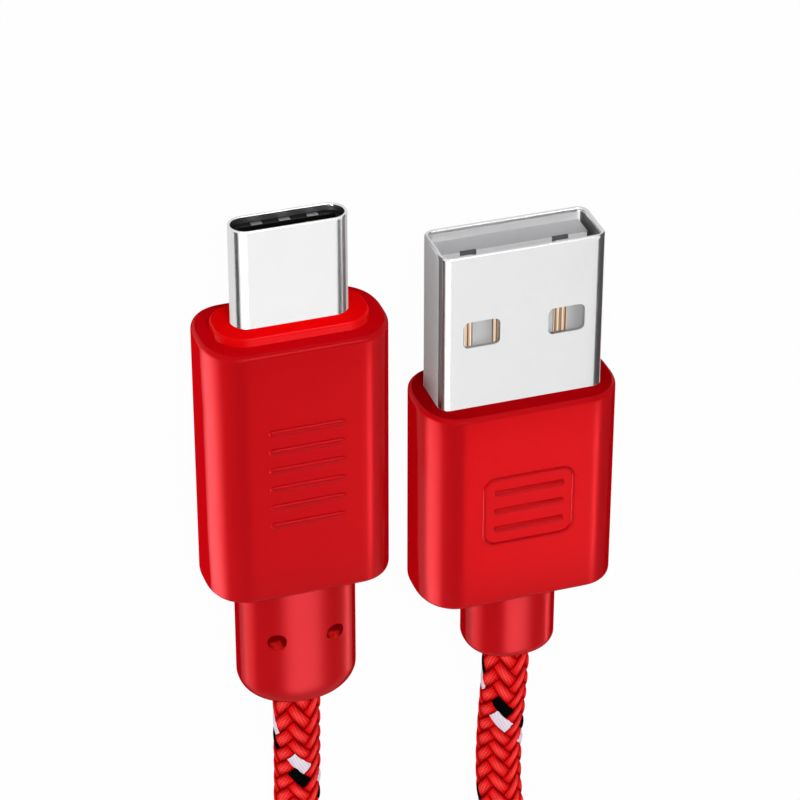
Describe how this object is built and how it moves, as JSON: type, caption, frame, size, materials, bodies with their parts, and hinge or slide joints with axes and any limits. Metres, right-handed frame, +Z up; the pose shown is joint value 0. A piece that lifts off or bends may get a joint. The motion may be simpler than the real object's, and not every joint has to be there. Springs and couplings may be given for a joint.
{
  "type": "charging cable",
  "caption": "Braided charging cable with a flat rectangular plug at one end and a small oval plug at the other, its spare length folded in a tied hank.",
  "frame": {"origin": "on the surface that the cable lies on, at the middle of the box round the two plugs without their cord", "axes": "+Y along both plugs from their mating ends to their cord, +Z up through their broad faces, the flat host plug on the -X side"},
  "size_m": [0.0363, 0.1504, 0.0179],
  "materials": {
    "red_shell": "satin moulded plastic",
    "bright_red": "bright moulded plastic",
    "red_relief": "satin moulded plastic",
    "polished_steel": "polished nickel-plated steel",
    "tongue_plastic": "moulded contact carrier",
    "black_plastic": "black moulded insulator",
    "gold_contact": "gold-plated copper alloy",
    "spring_steel": "stamped spring steel",
    "inner_mould": "low-pressure inner moulding",
    "wire_jacket": "insulated wire",
    "crimp_metal": "plain crimped metal",
    "board_green": "solder-masked board",
    "resistor_black": "chip body",
    "capacitor_tan": "ceramic chip body",
    "can_steel": "drawn sheet",
    "braid": "braided textile sleeve with one black and one white strand",
    "strap": "woven hook-and-loop strap"
  },
  "bodies": {
    "root": {"host_shell": "polished_steel", "host_tongue": "tongue_plastic", "host_contact_1": "gold_contact", "host_contact_2": "gold_contact", "host_contact_3": "gold_contact", "host_contact_4": "gold_contact", "host_block": "inner_mould", "host_wires": "wire_jacket", "host_crimp": "crimp_metal", "host_cord_end": "braid", "host_housing": "red_shell", "host_boot": "red_relief", "device_shell": "polished_steel", "device_insulator": "black_plastic", "device_contacts_upper": "gold_contact", "device_contacts_lower": "gold_contact", "device_latch": "spring_steel", "device_shield_pads": "spring_steel", "device_board": "board_green", "device_resistor": "resistor_black", "device_capacitor": "capacitor_tan", "device_can": "can_steel", "device_block": "inner_mould", "device_wires": "wire_jacket", "device_crimp": "crimp_metal", "device_cord_end": "braid", "device_collar": "bright_red", "device_housing": "red_shell", "device_boot": "red_relief", "host_cord_run": "braid", "cord_hank": "braid", "device_cord_run": "braid", "hank_tie": "strap"}
  },
  "joints": []
}
